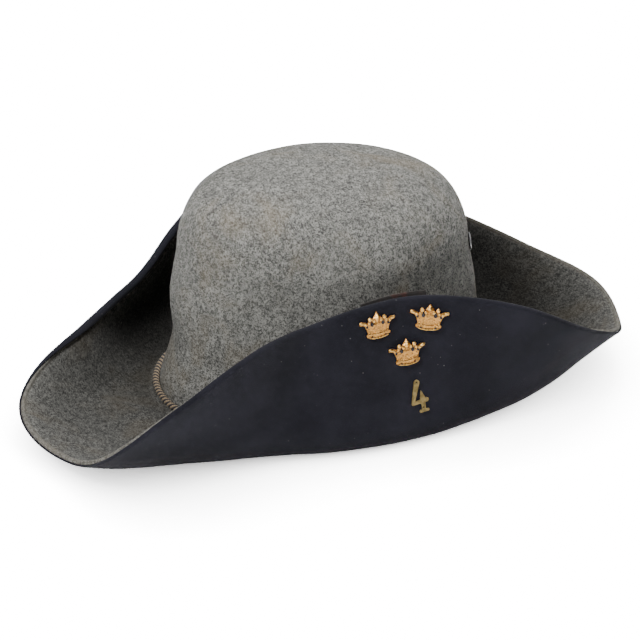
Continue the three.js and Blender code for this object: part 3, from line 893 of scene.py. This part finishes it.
# Raised knobs: place, half sizes across, up and off the plate, and lean
BADGE_KNOBS = (
    (0.41, 0.78, 1.45, 1.4, 1.1, 0), (0.86, 0.685, 2.0, 1.0, 0.9, 24),
    (0.68, 0.6, 1.0, 0.9, 0.8, 0), (0.21, 0.7, 1.05, 1.25, 0.8, -20),
    (0.5, 0.65, 0.8, 1.0, 0.7, 0),
)

# Dark pierced places: place, half sizes and height over the plate
BADGE_HOLLOWS = (
    (0.37, 0.12, 0.55, 0.5, 0.78), (0.31, 0.58, 1.2, 1.4, 0.05), (0.6, 0.53, 0.85, 1.0, 0.05),
)

# Two bars along the rim: half length, places, low point and rise as shares of the size, height
# over the plate, then how far up each bar is and how thick
RIM_LENGTH, RIM_PLACES, RIM_LOW, RIM_RISE, RIM_LIFT = 0.62, 13, 0.02, 0.2, 0.1
RIM_BARS = ((0.5, 0.62), (3.0, 0.42))

# Rows of beads: half length, count, low point, rise, and half sizes of a bead
BADGE_BEADS = (
    (0.5, 9, 0.255, 0.16, (0.55, 0.55, 0.5)),
    (0.52, 5, 0.385, 0.12, (0.42, 0.8, 0.35)),
)

# The middle point, a four-sided spike: place up, length, height over the plate, radii and depth
SPIKE_PLACE, SPIKE_LENGTH, SPIKE_LIFT = 0.8, 1.35, 0.8
SPIKE_RADII = (2.9, 0.2)
SPIKE_DEPTH = 1.9

# Mesh steps round a lump and a pit, from pole to pole of a lump, and round a bar
LUMP_STEPS, LUMP_RINGS, BAR_SIDES = 20, 12, 10


class Relief:
    """A small cast piece, built flat in millimetres and then set on the cloth."""

    def __init__(self):
        self.bm = bmesh.new()
        self.relief = self.bm.verts.layers.float.new("relief")
        self.hollow = self.bm.verts.layers.float.new("hollow")

    def knob(self, x, y, wide, tall, high, lean=0):
        """A rounded lump, sunk to its middle in the plate."""
        turn = Matrix.Rotation(math.radians(lean), 4, "Z")
        place = Matrix.Translation((x, y, BADGE_PLATE)) @ turn
        place @= Matrix.Diagonal((wide, tall, high, 1.0))
        bmesh.ops.create_uvsphere(
            self.bm, u_segments=LUMP_STEPS, v_segments=LUMP_RINGS, radius=1.0, matrix=place
        )

    def pit(self, x, y, wide, tall, level):
        """A dark flat spot that stands for a hole."""
        place = Matrix.Translation((x, y, level)) @ Matrix.Diagonal((wide, tall, 1.0, 1.0))
        made = bmesh.ops.create_circle(
            self.bm, cap_ends=True, segments=LUMP_STEPS, radius=1.0, matrix=place
        )
        for vert in made["verts"]:
            vert[self.hollow] = 1.0

    def bar(self, ends, thick, level):
        """A round bar through a row of places."""
        places = np.array(ends, float)
        count = len(places) - 1
        made = bmesh.ops.create_grid(
            self.bm, x_segments=count, y_segments=BAR_SIDES, size=1.0
        )
        for vert in made["verts"]:
            share, angle = (vert.co.x + 1) / 2 * count, (vert.co.y + 1) * math.pi
            x, y = (np.interp(share, range(count + 1), places[:, k]) for k in (0, 1))
            swell = thick * math.sqrt(max(1 - (2 * share / count - 1) ** 6, 0.0))
            vert.co = (x, y + math.cos(angle) * swell, level + math.sin(angle) * swell)
        bmesh.ops.remove_doubles(self.bm, verts=made["verts"], dist=1e-4)

    def plate(self, outline, thickness, bevel):
        """A flat plate with rounded upper edges."""
        made = bmesh.ops.create_circle(
            self.bm, cap_ends=True, segments=len(outline), radius=1.0
        )
        for vert, (x, y) in zip(made["verts"], outline):
            vert.co = (x, y, 0.0)
        face = made["verts"][0].link_faces[0]
        up = bmesh.ops.extrude_face_region(self.bm, geom=[face])["geom"]
        top = [item for item in up if isinstance(item, bmesh.types.BMFace)]
        lifted = [item for item in up if isinstance(item, bmesh.types.BMVert)]
        bmesh.ops.translate(self.bm, vec=(0, 0, thickness), verts=lifted)
        bmesh.ops.bevel(
            self.bm, geom=[*top[0].edges, *lifted], offset=bevel, segments=3, profile=0.5,
            affect="EDGES", material=-1,
        )

    def done(self, name, matrix, full):
        """Writes each corner's height into the relief attribute and sets the piece in place."""
        for vert in self.bm.verts:
            vert[self.relief] = min(max(vert.co.z / full, 0.0), 1.0)
        bmesh.ops.recalc_face_normals(self.bm, faces=self.bm.faces)
        bmesh.ops.transform(self.bm, matrix=matrix, verts=self.bm.verts)
        piece = finished(name, self.bm)
        piece.data.set_sharp_from_angle(angle=math.radians(40))
        return piece


def rounded(outline, parts):
    """A closed outline with more corners, by a smooth curve through the given ones."""
    corners = np.array(outline, float)
    places = np.arange(0, len(corners), 1 / parts) / len(corners) * 2 * math.pi
    return np.stack([round_value(corners[:, k], places) for k in (0, 1)], -1)


class HAT_OT_badges(bpy.types.Operator):
    """Add the three small cast crowns"""

    bl_idname = "hat.badges"
    bl_label = "Crown Badges"

    def execute(self, context):
        gilt = gilt_finish(colours_of(context))
        for name, bearing, share, lean, play in BADGES:
            piece = self.crown(f"{name}_cast", bearing, share, lean, play)
            dressed(piece, gilt, "gilt_brass", name)
        return {"FINISHED"}

    def crown(self, name, bearing, share, lean, play):
        cast = Relief()
        right = np.array(BADGE_EDGE)
        left = right[-2::-1] * (-1, 1)
        outline = np.concatenate([np.array(BADGE_FOOT), right, left]) * BADGE_SIZE
        cast.plate(rounded(outline, 3), BADGE_PLATE, BADGE_BEVEL)
        across = np.linspace(-RIM_LENGTH, RIM_LENGTH, RIM_PLACES)
        rim = np.column_stack([across, RIM_LOW + RIM_RISE * across**2]) * BADGE_SIZE
        for way, thick in RIM_BARS:
            cast.bar(rim + (0, way), thick, BADGE_PLATE + RIM_LIFT)
        for reach, count, low, rise, size in BADGE_BEADS:
            for x in np.linspace(-reach, reach, count):
                cast.knob(*(np.array([x, low + rise * x**2]) * BADGE_SIZE), *size)
        for side in (-1, 1):
            for x, y, wide, tall, high, tip in BADGE_KNOBS:
                place = np.array([side * x, y]) * BADGE_SIZE
                cast.knob(*place, wide, tall, high, side * tip)
            for x, y, wide, tall, high in BADGE_HOLLOWS:
                place = np.array([side * x, y]) * BADGE_SIZE
                cast.pit(*place, wide, tall, BADGE_PLATE + high)
        spike = Matrix.Translation((0, SPIKE_PLACE * BADGE_SIZE[1], BADGE_PLATE + SPIKE_LIFT))
        spike @= Matrix.Diagonal((1.0, SPIKE_LENGTH, 1.0, 1.0))
        bmesh.ops.create_cone(
            cast.bm, cap_ends=True, segments=4, radius1=SPIKE_RADII[0], radius2=SPIKE_RADII[1],
            depth=SPIKE_DEPTH, matrix=spike,
        )
        frame_there = felt_frame(bearing, 1 + share, SEAT_HEIGHT + play, lean)
        middle = Matrix.Translation((0, BADGE_TOP - BADGE_SIZE[1], 0))
        return cast.done(name, frame_there @ middle, BADGE_PLATE + BADGE_RELIEF)


# Rounded edges of the numeral: width, the angle of a flat seam, and the least angle, in
# radians, of an edge that is rounded here and on the patch
NUMERAL_BEVEL = 0.22
FLAT_SEAM = 0.02
EDGE_ANGLE = 0.9


class HAT_OT_numeral(bpy.types.Operator):
    """Add the flat numeral, cut from sheet with its edges rounded"""

    bl_idname = "hat.numeral"
    bl_label = "Numeral"

    def execute(self, context):
        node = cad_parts["numeral_four"]
        bm = bmesh.new()
        bm.from_mesh(node.data)
        bmesh.ops.transform(bm, matrix=node.matrix_world, verts=bm.verts)
        bmesh.ops.dissolve_limit(bm, angle_limit=FLAT_SEAM, verts=bm.verts, edges=bm.edges)
        sharp = [edge for edge in bm.edges if edge.calc_face_angle(0) > EDGE_ANGLE]
        made = bmesh.ops.bevel(
            bm, geom=sharp, offset=NUMERAL_BEVEL * MM, segments=2, profile=0.5,
            affect="EDGES", material=-1,
        )
        rubbed = bm.verts.layers.float.new("relief")
        for vert in made["verts"]:
            vert[rubbed] = 1.0
        bmesh.ops.recalc_face_normals(bm, faces=bm.faces)
        piece = finished("numeral_sheet", bm)
        piece.data.set_sharp_from_angle(angle=math.radians(50))
        finish = sheet_brass_finish(colours_of(context))
        dressed(piece, finish, "flat_brass", "numeral_four")
        return {"FINISHED"}


# Eyelet: bearing, share of the crown, then radius and height of each corner of its profile
EYELET_PLACE = (336, 0.503)
EYELET_PROFILE = (
    (2.3, -4.4), (5.8, -4.4), (6.0, -4.2), (6.0, -3.6), (3.2, -3.6), (3.2, 0.3), (5.8, 0.3),
    (6.0, 0.5), (5.85, 0.85), (5.3, 1.1), (4.4, 1.18), (3.4, 1.05), (2.7, 0.7), (2.3, 0.1),
)
EYELET_STEPS = 48


class HAT_OT_eyelet(bpy.types.Operator):
    """Add the rolled vent eyelet"""

    bl_idname = "hat.eyelet"
    bl_label = "Vent Eyelet"

    def execute(self, context):
        bm = bmesh.new()
        count = len(EYELET_PROFILE)
        bmesh.ops.create_circle(bm, segments=count, radius=1.0)
        for vert, (radius, high) in zip(bm.verts, EYELET_PROFILE):
            vert.co = (radius, 0.0, high)
        bmesh.ops.spin(
            bm, geom=[*bm.verts, *bm.edges], cent=(0, 0, 0), axis=(0, 0, 1), dvec=(0, 0, 0),
            angle=2 * math.pi, steps=EYELET_STEPS, use_merge=True, use_duplicate=False,
        )
        bmesh.ops.recalc_face_normals(bm, faces=bm.faces)
        bmesh.ops.transform(bm, matrix=felt_frame(*EYELET_PLACE, 0, 0), verts=bm.verts)
        piece = finished("rolled_eyelet", bm)
        piece.data.set_sharp_from_angle(angle=math.radians(50))
        dressed(piece, eyelet_finish(), "dark_eyelet", "vent_eyelet")
        return {"FINISHED"}


# Patch on the felt side of the flap: bearing, width and depth, how far its middle stands above
# the cut edge and how much less for each millimetre to the left, thickness, and gap to the felt
PATCH_BEARING = 271.3
PATCH_SIZE = (42.0, 33.0)
PATCH_RISE = 3.2
PATCH_SLOPE = 0.036
PATCH_THICKNESS = 0.9
PATCH_PLAY = 0.6
PATCH_BEVEL = 0.25
PATCH_STEPS = (42, 33)

# Waves of the patch's free edge: height, breadth and where each starts
PATCH_WAVES = ((0.25, 5.2, 0), (0.15, 2.9, 1))


class HAT_OT_patch(bpy.types.Operator):
    """Add the thin leather patch behind the badges"""

    bl_idname = "hat.patch"
    bl_label = "Badge Backing"

    def execute(self, context):
        wide, deep = PATCH_SIZE
        columns, rows = PATCH_STEPS
        bm = bmesh.new()
        bmesh.ops.create_grid(bm, x_segments=columns, y_segments=rows, size=0.5)
        bmesh.ops.scale(bm, vec=(wide, deep, 1.0), verts=bm.verts)
        up = bmesh.ops.extrude_face_region(bm, geom=[*bm.faces], use_keep_orig=True)["geom"]
        lifted = [item for item in up if isinstance(item, bmesh.types.BMVert)]
        bmesh.ops.translate(bm, vec=(0, 0, PATCH_THICKNESS), verts=lifted)
        bmesh.ops.recalc_face_normals(bm, faces=bm.faces)
        rim = [edge for edge in bm.edges if edge.calc_face_angle(0) > EDGE_ANGLE]
        bmesh.ops.bevel(
            bm, geom=rim, offset=PATCH_BEVEL, segments=3, profile=0.5, affect="EDGES", material=-1
        )
        flat = np.array([vert.co for vert in bm.verts])
        middle = np.array([math.radians(PATCH_BEARING)])
        edge = np.array([2.0])
        step = felt_point(middle + NORMAL_STEP, edge) - felt_point(middle, edge)
        per_turn = np.linalg.norm(step) / NORMAL_STEP
        rise = flat[:, 1] - deep / 2 + PATCH_RISE - flat[:, 0] * PATCH_SLOPE
        waves = (tall * np.sin(flat[:, 0] / broad + start) for tall, broad, start in PATCH_WAVES)
        high = PATCH_PLAY + flat[:, 2] + sum(waves) * np.clip(rise / PATCH_RISE, 0, 1)
        along = 2 + rise / brim_length(middle)
        points = sheet_point(middle - flat[:, 0] / per_turn, along, -high)
        for vert, point in zip(bm.verts, points):
            vert.co = point
        bmesh.ops.recalc_face_normals(bm, faces=bm.faces)
        piece = finished("leather_patch", bm)
        dressed(piece, patch_finish(), "brown_patch", "badge_backing")
        return {"FINISHED"}


# Studio: the floor's half side and its own glow, the air, where the lamps point, and each
# lamp's place, side and power
FLOOR_HALF = 6.0
FLOOR_GLOW = 18.0
LAMP_AIM = Vector((0.0, 0.0, 0.06))
AIR = 0.15
LAMPS = (
    ("key_light", (-1.12, -0.76, 1.44), 0.4, 29.0),
    ("top_light", (0.5, 0.46, 1.85), 0.7, 37.0),
)

# Camera: bearing and height of the view in degrees, distance and aim in millimetres
VIEW_BEARING = 23.9
VIEW_HEIGHT = 25.3
VIEW_DISTANCE = 1996
VIEW_AIM = np.array([-2.83, -1.26, 43.5])
VIEW_SCALE = 1.514
IMAGE_SIDE = 640
SENSOR_WIDTH = 36
VIEW_CLIP = (0.05, 50.0)


class HAT_OT_stage(bpy.types.Operator):
    """Add the pale floor, the studio light and the camera"""

    bl_idname = "hat.stage"
    bl_label = "Studio"

    def execute(self, context):
        bm = bmesh.new()
        bmesh.ops.create_grid(bm, x_segments=1, y_segments=1, size=FLOOR_HALF)
        floor = finished("studio_floor", bm, smooth=False)
        floor.data.materials.append(floor_finish())
        lit_by_floor = bpy.data.collections.new("lit_by_floor")
        lit_by_floor.objects.link(floor)
        floor.light_linking.receiver_collection = lit_by_floor
        self.lights(context)
        self.camera(context)
        return {"FINISHED"}

    def lights(self, context):
        world = bpy.data.worlds.new("studio_air")
        world.use_nodes = True
        sky = world.node_tree.nodes["Background"].inputs
        sky["Color"].default_value = WHITE
        sky["Strength"].default_value = AIR
        context.scene.world = world
        for name, place, side, power in LAMPS:
            lamp = bpy.data.lights.new(name, "AREA")
            lamp.shape = "SQUARE"
            lamp.size = side
            lamp.energy = power
            light = bpy.data.objects.new(name, lamp)
            context.scene.collection.objects.link(light)
            light.location = place
            aim = LAMP_AIM - light.location
            light.rotation_euler = aim.to_track_quat("-Z", "Y").to_euler()

    def camera(self, context):
        bearing, height = math.radians(VIEW_BEARING), math.radians(VIEW_HEIGHT)
        level = math.cos(height)
        back = Vector((-math.sin(bearing) * level, -math.cos(bearing) * level, math.sin(height)))
        data = bpy.data.cameras.new("photo_view")
        data.sensor_width = SENSOR_WIDTH
        data.lens = VIEW_SCALE * VIEW_DISTANCE * SENSOR_WIDTH / IMAGE_SIDE
        data.clip_start, data.clip_end = VIEW_CLIP
        camera = bpy.data.objects.new("photo_view", data)
        context.scene.collection.objects.link(camera)
        camera.location = Vector((VIEW_AIM + FOOT_CENTRE) * MM) + back * VIEW_DISTANCE * MM
        camera.rotation_euler = (-back).to_track_quat("-Z", "Y").to_euler()
        context.scene.camera = camera


STEPS = (
    HAT_OT_felt, HAT_OT_facing, HAT_OT_cord, HAT_OT_badges, HAT_OT_numeral, HAT_OT_eyelet,
    HAT_OT_patch, HAT_OT_stage,
)


class HAT_PT_panel(bpy.types.Panel):
    """Lists the hat's pieces, sizes and colours"""

    bl_idname = "HAT_PT_panel"
    bl_label = "Cocked Hat"
    bl_space_type = "VIEW_3D"
    bl_region_type = "UI"
    bl_category = "Cocked Hat"

    def draw(self, context):
        layout = self.layout
        for group in (sizes_of(context), colours_of(context)):
            for name in group.__annotations__:
                layout.prop(group, name)
        for step in STEPS:
            layout.operator(step.bl_idname)


CLASSES = (HatSizes, HatColours, *STEPS, HAT_PT_panel)


def register():
    for item in CLASSES:
        bpy.utils.register_class(item)
    bpy.types.Scene.hat_sizes = bpy.props.PointerProperty(type=HatSizes)
    bpy.types.Scene.hat_colours = bpy.props.PointerProperty(type=HatColours)


def unregister():
    del bpy.types.Scene.hat_colours
    del bpy.types.Scene.hat_sizes
    for item in reversed(CLASSES):
        bpy.utils.unregister_class(item)


def main():
    """Builds every piece in order."""
    register()
    for step in STEPS:
        group, name = step.bl_idname.split(".")
        getattr(getattr(bpy.ops, group), name)()


if __name__ == "__main__":
    main()
